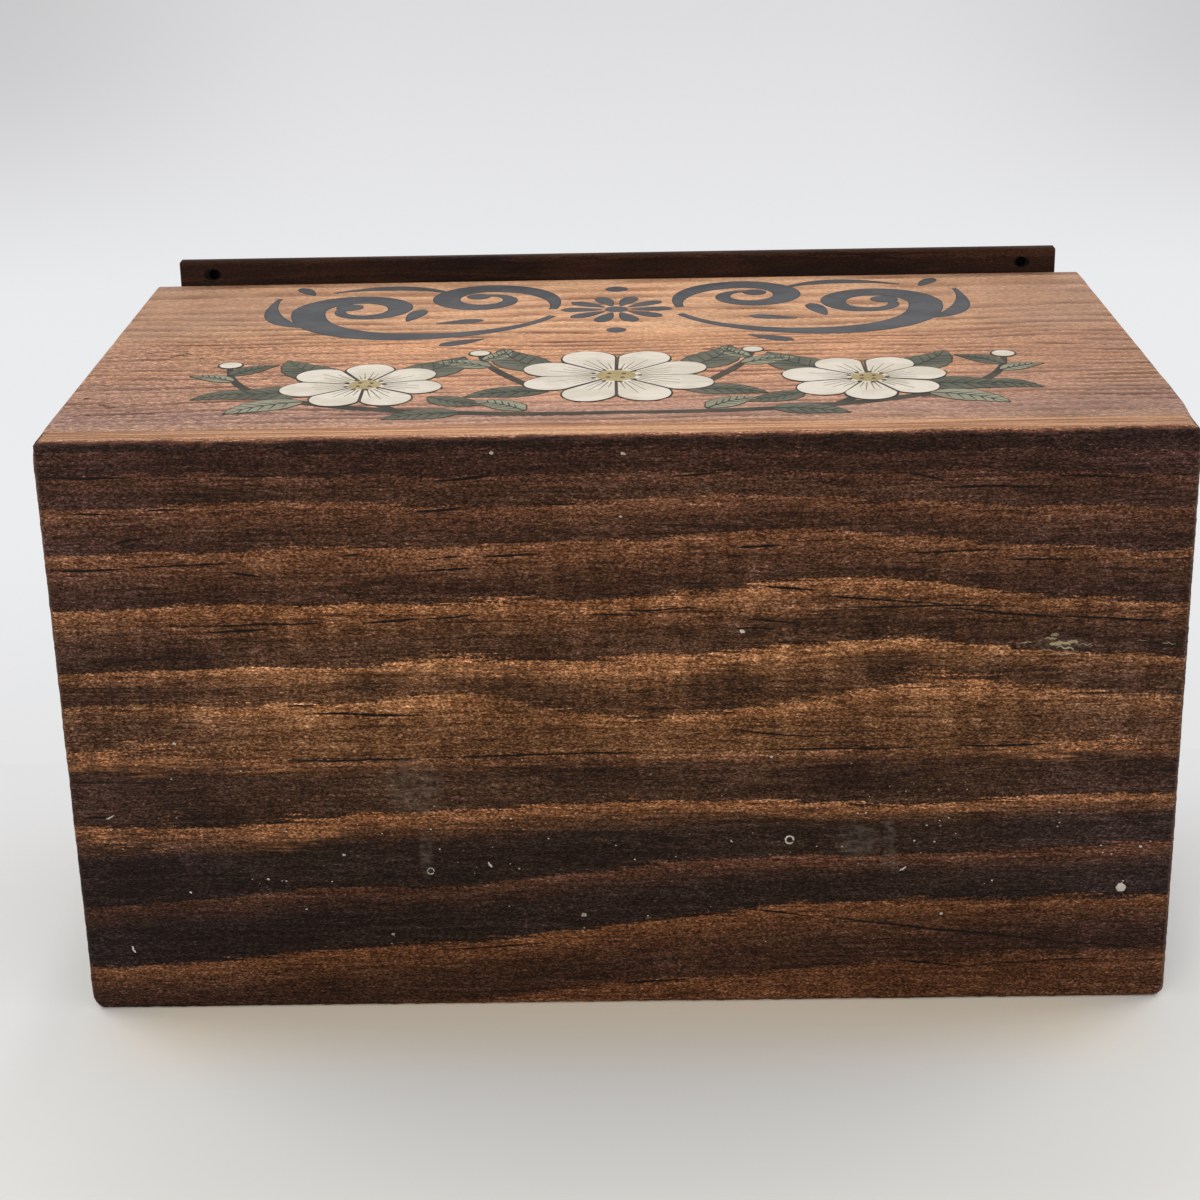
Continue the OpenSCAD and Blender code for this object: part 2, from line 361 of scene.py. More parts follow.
def by_ring(s, count, colors):
    """The one of several colours that belongs to a ring."""
    total = len(colors)
    middle = (s.math("FLOOR", count) + 0.5) / total
    return s.ramp(middle, [(index / total, color) for index, color in enumerate(colors)], "CONSTANT")


def shaded(s, *parts):
    """A factor for brightness from noises around one half, each with its strength in doublings."""
    total = 0
    for noise, strength in parts:
        total += (noise - 0.5) * strength
    return s.math("POWER", 2, total)


def frayed_edges(s, grain):
    """Fine specks, long tongues, and how far the two shift the edges of a ring."""
    speck = s.noise(grain, 2.2, 4.2, roughness=0.7)
    tongue = s.noise(grain, 0.1, 1.8, detail=3, roughness=0.6)
    return speck, tongue, s.swing(tongue, 1.7) + s.swing(speck, 0.4)


def off_middle(s, x, mottle):
    """How far to the left or right a place lies, blurred by a mottle."""
    return abs(x) + s.swing(mottle, 16)


def painted_end_shade(s, x, mottle):
    """Painted shade: how much darker the front face is painted towards its ends, where less light falls."""
    return s.step(off_middle(s, x, mottle), 30, 78, 1, 0.74)


# How far off its plane a face still counts as inside, and how far stain runs over the rim into the box
SLACK = 0.2
RIM_STAIN = 1.2


def inside_box(s, at, bleed=0):
    """1 on the bare faces inside the box, 0 on the stained ones outside; bleed roughens the rim's stain."""
    depth = s.least(
        INNER_X + SLACK - abs(at.x),
        INNER_FRONT + SLACK - at.z,
        at.z - (INNER_BACK - SLACK),
        at.y - (SEAM - SLACK),
        RIM - RIM_STAIN - at.y + bleed,
    )
    return s.step(depth, 0, 0.15)


def bare_wood(s, line, fibre, speck):
    """Pale wood without stain, with darker lines where line is 1."""
    color = s.mix(line * 0.5, (200, 160, 120), (164, 114, 80))
    return s.tint(color, s.line(fibre, 0.25, 0.75, 0.82, 1.16) * s.line(speck, 0.25, 0.75, 0.86, 1.14))


def finish_stained(s, color, mottle, relief):
    """Gives a stained board its colour, soft gloss and relief."""
    s.set(base_color=color, roughness=s.line(mottle, 0.3, 0.7, 0.55, 0.7), specular_ior_level=0.1)
    s.bump(relief, 0.12)
    return s.material


def bottom_places(s):
    """Where a place lies on the bottom board, and the noises that several of its looks share."""
    x, y, z = s.place()
    grain = s.vector(x, z, y)
    speck, tongue, fray = frayed_edges(s, grain)
    return SimpleNamespace(
        x=x, y=y, z=z, grain=grain, inward=y - BASE, below=FRONT - z, speck=speck, tongue=tongue, fray=fray,
        sway=s.noise(grain, 0.07, 0.2),
        fibre=s.noise(grain, 0.09, 1.7, detail=4, roughness=0.75),
        mottle=s.noise(grain, 0.05, 0.13, detail=5, roughness=0.6),
        blotch=s.noise(grain, 0.8, 1.5, detail=1),
    )


def bottom_rings(s, at):
    """How far into its ring a place lies, how much of it is late wood, and its colour."""
    across = at.below + at.inward * RING_SLANT + s.swing(at.sway, 0.8) + at.fray
    count = ring_count(s, across, s.line(at.x, -HALF_W, HALF_W))
    part = s.math("FRACT", count)
    late = by_ring(s, count, [late for _, late, _, _ in BOTTOM_RINGS])
    early = by_ring(s, count, [early for _, _, early, _ in BOTTOM_RINGS])
    fade = by_ring(s, count, [(share, share, share, 1) for _, _, _, share in BOTTOM_RINGS])
    narrow = s.step(part, 0.02, fade * 0.5, 1, 0)
    wide = s.step(part, 0.05, fade, 1, 0)
    lateness = s.step(part, 0, 0.05) * (narrow * 0.4 + wide * 0.6)
    return part, lateness, s.mix(lateness, early, late)


def bottom_grain(s, at, lateness, color):
    """Specks, fibres, bars across the grain and short dark pores: brightness, pores and colour."""
    bars = s.noise(at.grain, 0.4, 0.12, detail=3)
    barring = s.line(s.band(at.below, 12, 24, 44, 56), 0, 1, 0.7, 2.4)
    noises = (at.speck, 9.6), (at.blotch, 1.8), (at.fibre, 4.5), (at.mottle, 2.4), (bars, barring)
    shade = shaded(s, *noises)
    color = s.tint(color, shade)
    # Bright specks are greyer than the rest and dark ones redder, and the middle is warmer than the ends
    color = s.glaze(s.step(shade, 1.3, 3), color, (0.84, 1, 1.35, 1))
    color = s.glaze(s.step(shade, 0.8, 0.3), color, (1, 0.75, 0.55, 1))
    warm = s.step(off_middle(s, at.x, at.mottle), 74, 44) * s.line(lateness, 0, 1, 1, 0.25)
    color = s.glaze(warm, color, (1, 0.96, 0.76, 1))
    pores = s.noise(at.grain, 0.45, 5, detail=1)
    streaks = s.noise(at.grain, 0.11, 2.6)
    dashes = s.most(s.step(pores, 0.64, 0.72), s.step(streaks - at.mottle * 0.2, 0.52, 0.58))
    return shade, dashes, s.mix(dashes * 0.65, color, (27, 17, 14))


def bottom_stain(s, at, shade, color):
    """Stain that is darker at the foot of the board, paler on the right half of two low rings,
    darker towards the ends and in spots, and worn thin in golden streaks, with pale dust over it."""
    left_foot = s.step(at.x, 0, -60) * s.step(at.below, 56, 64)
    right_foot = s.step(at.x, 5, 50) * s.step(at.below, 68, 73)
    right_low = s.step(at.x, -5, 60) * s.band(at.below, 56, 64, 67, 71)
    color = s.tint(color, 1 + right_low * 0.5 - left_foot * 0.25 - right_foot * 0.2)
    ends = s.step(abs(at.x + 8), 35, 82) * s.band(at.below, 6, 26, 44, 52)
    frayed = at.below + s.swing(at.tongue, 5) + s.swing(at.speck, 1.5)
    spots = s.most(*[s.spot(at.x, frayed, *spot) for spot in DARK_SPOTS])
    color = s.tint(color, 1 - s.most(ends * 0.3, spots * 0.45))
    gold = s.tint((138, 92, 60), shade)
    for streak in GOLDEN_STREAKS:
        color = s.mix(s.spot(at.x, frayed, *streak) * 0.7, color, gold)
    pale = s.most(*[s.spot(at.x, at.below, *spot) for spot in PALE_SPOTS])
    dust = s.step(at.blotch, 0.35, 0.75) * s.step(at.inward, 2, 1)
    return s.mix(pale * (dust * 0.12 + 0.03), color, (150, 138, 124))


def bottom_wear_and_painted_light(s, at, color):
    """The front edge keeps the colour of bare wood, darkened towards its ends by painted shade, and wears to
    a ragged brown towards the dark face. The board's ends get a painted highlight where they round into the
    dark face.
    """
    bare_line = s.noise(s.vector(at.x, at.y, at.z), 0.025, 2, detail=3, roughness=0.6)
    bare = s.mix(s.step(bare_line, 0.4, 0.6), (160, 112, 82), (208, 160, 124))
    # The bare edge gets the same painted shade towards its ends
    bare = s.tint(bare, shaded(s, (at.fibre, 1.3), (at.speck, 2)) * painted_end_shade(s, at.x, at.mottle))
    fuzz = s.swing(s.noise(at.grain, 0.16, 1.4, detail=5, roughness=0.75), 2.6)
    drift = s.swing(at.sway, 1) + s.line(at.x, -80, -45, -0.4, 0) + s.line(at.x, 5, 30, 0, 0.4)
    off_edge = at.inward - at.below * 2 + fuzz + drift
    off_end = HALF_W + fuzz * 0.3 - abs(at.x)
    wear = s.line(s.least(off_edge, (off_end - 0.5) * 5), -0.7, 3)
    worn = s.ramp(wear, [
        (0.1, (40, 24, 19)), (0.34, (78, 46, 34)), (0.52, (124, 82, 60)), (0.7, (176, 130, 100)),
    ])
    worn = s.tint(worn, shaded(s, (at.speck, 7), (at.fibre, 3)))
    color = s.mix(s.step(wear, 0.05, 0.25), color, worn)
    color = s.mix(s.step(wear, 0.6, 0.8), color, bare)
    # A painted highlight: the board's ends are paler where they round off into the dark face, as if catching
    # the light
    past_end = abs(at.x) - (HALF_W - 0.9 + fuzz * 0.15)
    end_rim_highlight = s.step(past_end, 0, 0.6) * s.step(at.inward, 1.3, 0.7) * s.step(at.below, 0.5, 2)
    return s.mix(end_rim_highlight * 0.4, color, s.tint((112, 90, 76), shaded(s, (at.speck, 4))))


def bottom_board_wood():
    s = Shader("bottom_board_wood")
    at = bottom_places(s)
    part, lateness, color = bottom_rings(s, at)
    shade, dashes, color = bottom_grain(s, at, lateness, color)
    color = bottom_wear_and_painted_light(s, at, bottom_stain(s, at, shade, color))
    bare = bare_wood(s, s.step(part, 0.6, 0.95), at.fibre, at.speck)
    color = s.mix(inside_box(s, at), color, bare)
    return finish_stained(s, color, at.mottle, at.fibre * 0.5 + at.speck * 0.35 - dashes * 0.3)


# Wood of the front panel, whose rings run along X too: the depths below its rim between which they
# are counted, how many there are, and the curve that sets them closer below the middle of the face
FRONT_RING_DEPTHS = (-10, 110)
FRONT_RING_COUNT = 42
FRONT_RING_CURVE = [(0, 0), (0.38, 0.2), (0.46, 0.29), (1, 1)]
FRONT_RING_SLANT = 0.8
# Its early and late wood, from the rim to the bottom board. It turns redder below the middle
FRONT_EARLY = [
    (0, (212, 166, 130)), (0.22, (206, 158, 122)), (0.4, (212, 164, 125)), (0.46, (206, 152, 112)),
    (0.78, (204, 152, 120)), (0.94, (176, 136, 118)), (1, (188, 146, 118)),
]
FRONT_LATE = [
    (0, (146, 101, 74)), (0.4, (138, 92, 64)), (0.46, (118, 72, 48)), (0.78, (112, 70, 52)),
    (0.94, (100, 68, 58)), (1, (136, 94, 70)),
]


def front_places(s):
    """Where a place lies on the front panel, and the noises that several of its looks share."""
    x, y, z = s.place()
    grain = s.vector(x, y, z)
    below = RIM - y
    fibre = s.noise(grain, 0.12, 1.2, detail=4, roughness=0.7)
    return SimpleNamespace(
        x=x, y=y, z=z, grain=grain, below=below, fibre=fibre,
        speck=s.noise(grain, 1.4, 2.2, detail=4, roughness=0.75),
        mottle=s.noise(grain, 0.05, 0.1, detail=4),
        zone=s.line(below + s.swing(fibre, 3), 0, RIM - SEAM),
    )


def front_rings(s, at):
    """How much late wood shows at a place on the front panel. Some of its rings are stronger than others."""
    sway = s.noise(at.grain, 0.02, 0.04, detail=1)
    tongue = s.noise(at.grain, 0.05, 0.9, detail=4, roughness=0.7)
    across = at.below + (FRONT - at.z) * FRONT_RING_SLANT + s.swing(sway, 5)
    frayed = across + s.swing(tongue, 1.2) + s.swing(at.speck, 0.7)
    count = s.curve(s.line(frayed, *FRONT_RING_DEPTHS), FRONT_RING_CURVE) * FRONT_RING_COUNT
    part = s.math("FRACT", count)
    strength = s.noise(s.vector(s.math("FLOOR", count) * 0.71, 2, at.x * 0.06), detail=3)
    return s.band(part, 0.05, 0.8, 0.84, 1) * s.line(strength, 0.36, 0.64, 0.1, 1)


def stain_ends(s, at, color):
    """Stain on the front panel's ends and rim, which its front and its inside are free of."""
    rough_edge = s.noise(s.vector(at.x * 0.5, at.y * 0.5, at.z * 1.2), detail=4, roughness=0.7)
    off_edge = s.least(HALF_W - 0.08 - abs(at.x), RIM - 0.25 - at.y, at.z - (FRONT - 1.2))
    front = s.step(off_edge + s.swing(rough_edge, 0.1), 0, 0.1)
    inside = inside_box(s, at, s.swing(rough_edge, 1))
    stain = s.mix(s.step(at.fibre, 0.4, 0.6), (50, 32, 26), (84, 54, 40))
    stain = s.tint(stain, s.line(at.speck, 0.3, 0.7, 0.5, 1.4))
    return s.mix(s.most(front, inside), stain, color)


def front_panel_wood():
    s = Shader("front_panel_wood")
    at = front_places(s)
    # Painted shade darkens the face towards its ends
    end_shading = painted_end_shade(s, at.x, at.mottle)
    coarse = s.step(at.zone, 0.4, 0.52, 0.7, 1)
    at_left = s.step(at.x, -25, -60) * s.step(at.zone, 0.3, 0.5)
    shade = shaded(s, (at.fibre, 1.6), (at.mottle, 0.8), (at.speck, coarse * (at_left * 2.4 + 4.6)))
    color = s.mix(front_rings(s, at), s.ramp(at.zone, FRONT_EARLY), s.ramp(at.zone, FRONT_LATE))
    color = s.tint(color, end_shading * shade)
    # Towards the ends the painted shade also turns greyer in places, and the coarse wood has open pores
    dull = (1 - end_shading) * s.step(at.mottle, 0.3, 0.6) * 1.2
    color = s.mix(dull, color, s.tint((148, 118, 106), shade))
    pores = s.noise(at.grain, 0.5, 1.1, detail=3, roughness=0.6)
    pitted = s.step(pores, 0.58, 0.7) * (coarse * 0.6 + at_left * 0.4 - 0.25)
    color = stain_ends(s, at, s.mix(pitted, color, (92, 58, 44)))
    s.set(base_color=color, roughness=s.line(at.fibre, 0.3, 0.7, 0.5, 0.62), specular_ior_level=0.14)
    s.bump(at.fibre * 0.6 + at.speck * 0.12, 0.05)
    return s.material


def stained_places(s, grain_axis, seed):
    """Where a place lies on a stained board, and the noises that several of its looks share."""
    x, y, z = s.place()
    axes = {"X": x, "Y": y, "Z": z}
    along = axes.pop(grain_axis)
    first, second = axes.values()
    grain = s.vector(along, first, second)
    speck, _, fray = frayed_edges(s, grain)
    return SimpleNamespace(
        x=x, y=y, z=z, along=along, first=first, second=second, speck=speck, fray=fray,
        fibre=s.noise(grain, 0.08, 1.7, detail=4, roughness=0.7),
        pores=s.noise(grain, 0.45, 5, detail=1),
        mottle=s.noise(s.vector(x * 0.05 + seed, y * 0.07, z * 0.07), detail=4),
        overhung=s.step(y, lid_low.y + 2, lid_low.y + 0.5) * s.step(z, FRONT - 2, FRONT - 1),
    )


def stained_rings(s, at, pith, spacing, seed):
    """How far into its ring a place on a stained board lies, and how much late wood shows there."""
    off_first = at.first - pith[0]
    off_second = at.second - pith[1]
    off_pith = s.math("SQRT", off_first * off_first + off_second * off_second)
    sway = s.noise(s.vector(at.along * 0.02, at.first * 0.06 + seed, at.second * 0.06))
    reach = off_pith + (s.swing(sway, 4.5) + at.fray)
    uneven = s.noise(s.vector(reach * 0.08, 5, 9))
    count = reach / spacing + uneven * 3
    part = s.math("FRACT", count)
    strength = s.noise(s.vector(s.math("FLOOR", count) * 0.73, seed, at.along * 0.01))
    late_part = s.step(part, 0, s.line(strength, 0.3, 0.7, 0.35, 0.9), 1, 0)
    return part, late_part * s.line(strength, 0.3, 0.7, 0.25, 1)


def stained_wood(name, grain_axis, pith, spacing, seed, dark_spots=()):
    """Dark stained board, bare inside the box, with rings round a pith given across its grain.

    Under the lid's overhang, in front of the box, the wood is darker and shows less of its grain.
    """
    s = Shader(name)
    at = stained_places(s, grain_axis, seed)
    part, lateness = stained_rings(s, at, pith, spacing, seed)
    contrast = s.line(at.overhung, 0, 1, 1, 0.45)
    light = s.line(at.overhung, 0, 1, 0.92, 0.62)
    early = s.mix(s.step(at.mottle, 0.3, 0.7), (48, 31, 25), (62, 39, 30))
    color = s.mix(lateness * contrast, early, (112, 73, 48))
    shade = shaded(s, (at.speck, contrast * 8), (at.fibre, contrast * 4), (at.mottle, 1.2))
    dashes = s.step(at.pores, 0.64, 0.72)
    color = s.mix(dashes * 0.6, s.tint(color, shade * light), (28, 18, 15))
    for spot in dark_spots:
        soaked = s.spot(at.x, at.z, *spot) * (at.speck + 0.5)
        color = s.mix(s.step(soaked, 0.3, 0.6), color, (14, 10, 9))
    bare = bare_wood(s, s.step(part, 0.5, 0.95), at.fibre, at.speck)
    bleed = s.noise(s.vector(at.x, at.y, at.z), 0.4, 0.4, detail=3)
    color = s.mix(inside_box(s, at, s.swing(bleed, 1)), color, bare)
    return finish_stained(s, color, at.mottle, at.fibre * 0.5 + at.speck * 0.3 - dashes * 0.3)


def metal(name, bright, dull, roughness):
    """Old metal, bright where it is worn and dull elsewhere."""
    s = Shader(name)
    where = s.vector(*s.place())
    cloud = s.noise(where, 0.5, 0.5, detail=4, roughness=0.6)
    grain = s.noise(where, 0.6, 6, detail=3)
    worn = s.step(cloud * 0.7 + grain * 0.3, 0.38, 0.62)
    gloss = s.line(worn, 0, 1, roughness + 0.22, roughness)
    s.set(base_color=s.mix(worn, dull, bright), metallic=1, roughness=gloss)
    s.bump(grain * 0.5 + cloud * 0.5, 0.03)
    return s.material


def paint(name, color, other, roughness=0.55):
    """Thin old paint that the grain of the wood shows through."""
    s = Shader(name)
    where = s.vector(*s.place())
    cloud = s.noise(where, 0.15, 0.2, detail=4, roughness=0.6)
    grain = s.noise(where, 0.06, 1.6, detail=4, roughness=0.65)
    shade = s.line(grain, 0.25, 0.75, 0.93, 1.07) * s.line(cloud, 0.25, 0.75, 0.95, 1.05)
    color = s.tint(s.mix(s.step(cloud, 0.4, 0.6), color, other), shade)
    s.set(base_color=color, roughness=roughness, specular_ior_level=0.15)
    s.bump(grain, 0.05)
    return s.material


# The table ends just before the hinges, so that the opened lid hangs past its edge
TABLE_END = 38
TABLE_FADE = -20
TABLE_REACH = 1500
TABLE_THICKNESS = 25
TABLE_EDGE_R = 2
TABLE_EDGE_STEPS = 8


def table_surface():
    """Smooth pale table, which takes the backdrop's colour towards its far edge."""
    s = Shader("table_surface")
    x, y, z = s.place()
    cloud = s.noise(s.vector(x, y, z), 0.02, 0.02, detail=3)
    # A painted shadow makes it a little greyer well in front of the box, painted light makes it paler beside
    # it, and just in front of the box a painted reflection gives it some of the wood's warmth
    before = BASE - y
    pale = s.step(abs(x), HALF_W + 2, HALF_W + 12) * s.step(before, 45, -10)
    dull = s.step(abs(x), 120, 40) * s.step(before, 14, 50)
    wood_reflection = s.step(before, 26, 0) * s.step(abs(x), HALF_W + 4, HALF_W - 18)
    color = s.mix(cloud, (232, 232, 230), (236, 236, 235))
    color = s.mix(pale, color, (246, 246, 245))
    color = s.mix(dull, color, (222, 222, 219))
    color = s.mix(wood_reflection, color, (247, 235, 216))
    s.set(base_color=color, roughness=0.6, specular_ior_level=0.2)
    glow = s.value("ShaderNodeEmission", {"Color": srgb(226, 226, 227), "Strength": 1})
    seen = s.value("ShaderNodeLightPath", output="Is Camera Ray")
    far = seen * s.step(y, TABLE_FADE, TABLE_END - 1)
    shader = Value(s, s.surface.outputs[0])
    mixed = s.value("ShaderNodeMixShader", {0: far, 1: shader, 2: glow})
    s.feed(s.tree.nodes["Material Output"].inputs["Surface"], mixed)
    return s.material


def quarter(steps, start=0):
    """The angles of a quarter turn in even steps, in radians, from a start in degrees."""
    return [math.radians(start + 90 * i / steps) for i in range(steps + 1)]


def spread(start, end, step):
    """Places from start to end, about a step apart."""
    count = max(1, round(abs(end - start) / step))
    return [start + (end - start) * i / count for i in range(count + 1)]


def close_rings(rings):
    """The corners and faces of a tube of equal rings of corners, with its two ends closed."""
    size = len(rings[0])
    corners = [corner for ring in rings for corner in ring]
    faces = []
    for start in range(0, len(corners) - size, size):
        for i in range(size):
            j = (i + 1) % size
            faces.append((start + i, start + j, start + size + j, start + size + i))
    faces.append(tuple(range(size))[::-1])
    faces.append(tuple(range(len(corners) - size, len(corners))))
    return corners, faces


def add_mesh(name, corners, faces, material):
    """An object from a mesh in millimetres."""
    mesh = bpy.data.meshes.new(name)
    mesh.from_pydata([Vector(corner) * MM for corner in corners], [], faces)
    mesh.materials.append(material)
    made = bpy.data.objects.new(name, mesh)
    bpy.context.collection.objects.link(made)
    return made


def add_piece(name, corners, faces, material):
    """A mesh that rides on the box, smooth except at its sharp edges."""
    piece = add_mesh(name, corners, faces, material)
    work = bmesh.new()
    work.from_mesh(piece.data)
    bmesh.ops.recalc_face_normals(work, faces=work.faces)
    for face in work.faces:
        face.smooth = True
    for edge in work.edges:
        if len(edge.link_faces) == 2 and edge.calc_face_angle() > math.radians(SHARP):
            edge.smooth = False
    work.to_mesh(piece.data)
    work.free()
    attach(piece, "box")
    return piece


def add_board(name, rings, material, node):
    """A board that stands for a node of the model."""
    piece = add_piece(name, *close_rings(rings), material)
    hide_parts(node)


def add_table():
    """A wide slab whose far edge is rounded."""
    outline = [(-TABLE_REACH, 0), (-TABLE_REACH, -TABLE_THICKNESS), (TABLE_END, -TABLE_THICKNESS)]
    for turn in quarter(TABLE_EDGE_STEPS):
        y = TABLE_END - TABLE_EDGE_R * (1 - math.cos(turn))
        outline.append((y, TABLE_EDGE_R * (math.sin(turn) - 1)))
    rings = [[(x, y, z) for y, z in outline] for x in (-TABLE_REACH, TABLE_REACH)]
    add_mesh("table", *close_rings(rings), table_surface())


# Colours of the backdrop, from looking steeply down to looking level, by the sine of the angle
BACKDROP = [
    (-0.6, (222, 221, 219)), (-0.42, (226, 226, 226)), (-0.31, (236, 237, 239)),
    (-0.22, (234, 235, 237)), (-0.15, (226, 226, 228)), (-0.08, (216, 216, 217)), (0.1, (222, 222, 223)),
]
AMBIENT = 0.6


def set_world():
    world = bpy.context.scene.world or bpy.data.worlds.new("backdrop")
    bpy.context.scene.world = world
    world.use_nodes = True
    n = Nodes(world.node_tree)
    aside, _, up = n.split(n.value("ShaderNodeTexCoord", output="Generated"))
    stops = [((sine + 1) / 2, color) for sine, color in BACKDROP]
    dusk = n.step(abs(aside), 0.1, 0.27) * n.step(up, -0.22, -0.12) * 0.18
    shown = n.tint(n.ramp(n.line(up, -1, 1), stops), 1 - dusk)
    path = n.node("ShaderNodeLightPath").outputs
    rays = ("Is Camera Ray", "Is Glossy Ray", "Is Transmission Ray")
    direct = n.most(*[Value(n, path[ray]) for ray in rays])
    seen = n.value("ShaderNodeBackground", {"Color": shown, "Strength": 1})
    light = world.node_tree.nodes["Background"]
    light.inputs["Color"].default_value = (1, 1, 1, 1)
    light.inputs["Strength"].default_value = AMBIENT
    mixed = n.value("ShaderNodeMixShader", {0: direct, 1: Value(n, light.outputs[0]), 2: seen})
    n.feed(world.node_tree.nodes["World Output"].inputs["Surface"], mixed)


# Soft lamps that face the box: place in metres, size, power and colour
LAMPS = {
    "overhead_right": ((0.85, 0.4, 0.95), (0.7, 0.8), 5.4, (1, 1, 1)),
    "overhead_left": ((-0.85, 0.4, 0.95), (0.7, 0.8), 5.4, (1, 1, 1)),
    "front_fill": ((-0.35, -1.2, 0.75), (0.9, 0.9), 5.2, (1, 0.95, 0.88)),
}
LAMP_TARGET = Vector((0, 0, 0.04))


def add_lamps():
    for name, (place, size, power, color) in LAMPS.items():
        data = bpy.data.lights.new(name, "AREA")
        data.shape = "RECTANGLE"
        data.size, data.size_y = size
        data.energy = power
        data.color = color
        lamp = bpy.data.objects.new(name, data)
        lamp.location = place
        lamp.rotation_euler = (LAMP_TARGET - lamp.location).to_track_quat("-Z", "Y").to_euler()
        bpy.context.collection.objects.link(lamp)


# Bottom board: how far each corner is rounded along X and along Z, which way each corner lies, at
# what turn its round starts, and how far it sticks out, as the board is not quite square
CORNERS = {
    "back_left": ((1.8, 2.6), (-1, -1), 180, -0.1),
    "back_right": ((2, 1.6), (1, -1), 270, 0.4),
    "front_right": ((2.2, 1), (1, 1), 0, 0.3),
    "front_left": ((0.6, 0.7), (-1, 1), 90, 0.4),
}
# How many steps a corner's round has, and the least that an inset leaves of its radius
CORNER_STEPS = 10
LEAST_ROUND = 0.02
# How far apart the places along its sides lie
BOARD_STEP = 0.4
# How far its worn edge reaches down its outer face, and into its thickness at the front and elsewhere
ARRIS_DOWN = 0.8
ARRIS_DEEP_FRONT = 2.2
ARRIS_DEEP = 0.8
ARRIS_STEPS = 9
# How far below the front edge the worn edge begins to grow, and where it has its full size
WEAR_START = 2.5
WEAR_FULL = 0.5
# How far inside the worn edge its outer face is quite flat
FLAT_INSET = 0.6
# How deep the flat of its outer face lies inside the box's outline, which leaves room for flecks
SKIN = 0.035


def corner_point(name, turn, inset):
    """A place on a rounded corner of the bottom board's outline, drawn in by an inset."""
    (reach_x, reach_z), (way_x, way_z), _, out = CORNERS[name]
    edge_x = (board_high.x if way_x > 0 else board_low.x) + way_x * out
    edge_z = board_high.z if way_z > 0 else board_low.z
    radius_x = max(reach_x - inset, LEAST_ROUND)
    radius_z = max(reach_z - inset, LEAST_ROUND)
    middle = Vector((edge_x - way_x * (inset + radius_x), edge_z - way_z * (inset + radius_z)))
    return middle + Vector((radius_x * math.cos(turn), radius_z * math.sin(turn)))


def board_outline():
    """Stations round the bottom board: two corner places each, and how far the station lies between them."""
    names = list(CORNERS)
    stations = []
    for name, following in zip(names, names[1:] + names[:1]):
        turns = quarter(CORNER_STEPS, CORNERS[name][2])
        stations += [((name, turn), (name, turn), 0) for turn in turns]
        here = (name, turns[-1])
        there = (following, math.radians(CORNERS[following][2]))
        length = (corner_point(*here, 0) - corner_point(*there, 0)).length
        count = int(length / BOARD_STEP)
        stations += [(here, there, i / count) for i in range(1, count)]
    return stations


def outline_point(station, inset):
    here, there, part = station
    return corner_point(*here, inset).lerp(corner_point(*there, inset), part)


def wear_at(x, z):
    """How much larger than usual the worn edge is at a place round the bottom board."""
    slow = soft_noise((x * 0.11, z * 0.11, 3))
    quick = soft_noise((x * 0.6, z * 0.6, 8))
    return max(0.45, 1 + 0.3 * slow + 0.22 * quick)


def chips(x, y, z):
    """Roughness of the worn edge at a place."""
    large = soft_noise((x * 0.45, y * 0.8, z * 0.8))
    middling = soft_noise((x * 1.3, y * 2.2 + 20, z * 2.2))
    small = soft_noise((x * 2.6, y * 4 + 40, z * 4))
    return 0.16 * large + 0.12 * middling + 0.07 * small


def add_bottom_board(material):
    stations = board_outline()
    rings = []
    for turn, flat in [(0, FLAT_INSET)] + [(turn, 0) for turn in quarter(ARRIS_STEPS)]:
        ring = []
        for station in stations:
            x, z = outline_point(station, 0)
            wear = wear_at(x, z)
            near_front = min(1, max(0, (z - FRONT + WEAR_START) / (WEAR_START - WEAR_FULL)))
            deep = wear * (ARRIS_DEEP + (ARRIS_DEEP_FRONT - ARRIS_DEEP) * near_front)
            y = BASE + SKIN + deep * (1 - math.cos(turn))
            rough = chips(x, y, z) * math.sin(2 * turn) * (0.6 + 0.8 * near_front)
            inset = max(0, wear * ARRIS_DOWN * (1 - math.sin(turn)) + flat + rough)
            x, z = outline_point(station, inset)
            ring.append((x, max(BASE + SKIN, y + 0.5 * rough), z))
        rings.append(ring)
    for inset, y in ((0, SEAM - PANEL_EASE), (PANEL_EASE, SEAM)):
        points = [outline_point(station, inset) for station in stations]
        rings.append([(x, y, z) for x, z in points])
    add_board("worn_bottom_board", rings, material, "bottom_board")


# Front panel: the sizes of its worn upright edges and of its rim's edge
PANEL_EDGE = 0.6
PANEL_EASE = 0.06
PANEL_STEP = 1
RIM_STEPS = 8
# Its upright edges: side, the board's corner that it runs into, within what height, and how uneven it is
PANEL_EDGES = ((-1, "front_left", 1.5, 0.2, 1), (1, "front_right", 4.5, 0.25, 7))


def panel_section(y):
    """The front panel's outline in X and Z at a height, from the left rabbet round its inner face."""
    from_seam = y - SEAM
    from_rim = y - (RIM - PANEL_EDGE)
    top = FRONT - max(0, PANEL_EASE - from_seam)
    if from_rim > 0:
        top -= PANEL_EDGE - math.sqrt(max(0, PANEL_EDGE ** 2 - from_rim ** 2))
    rounds = []
    for side, corner, reach, uneven, seed in PANEL_EDGES:
        (corner_x, corner_z), _, _, out = CORNERS[corner]
        near = math.exp(-(from_seam / reach) ** 2)
        edge = PANEL_EDGE * (1 + uneven * soft_noise((y * 0.15, seed, 0)))
        radius_x = edge + (corner_x - edge) * near
        radius_z = edge + (corner_z - edge) * near
        end = HALF_W + (board_high.x + out - HALF_W) * near
        places = [(end - radius_x * (1 - math.cos(turn)), turn) for turn in quarter(CORNER_STEPS)]
        rounds.append([(side * x, top - radius_z * (1 - math.sin(turn))) for x, turn in places])
    left, right = rounds
    inside = [(-INNER_X, RABBET_Z), (-INNER_X, INNER_FRONT), (INNER_X, INNER_FRONT), (INNER_X, RABBET_Z)]
    return [(left[0][0], RABBET_Z)] + inside + [(right[0][0], RABBET_Z)] + right + left[::-1]


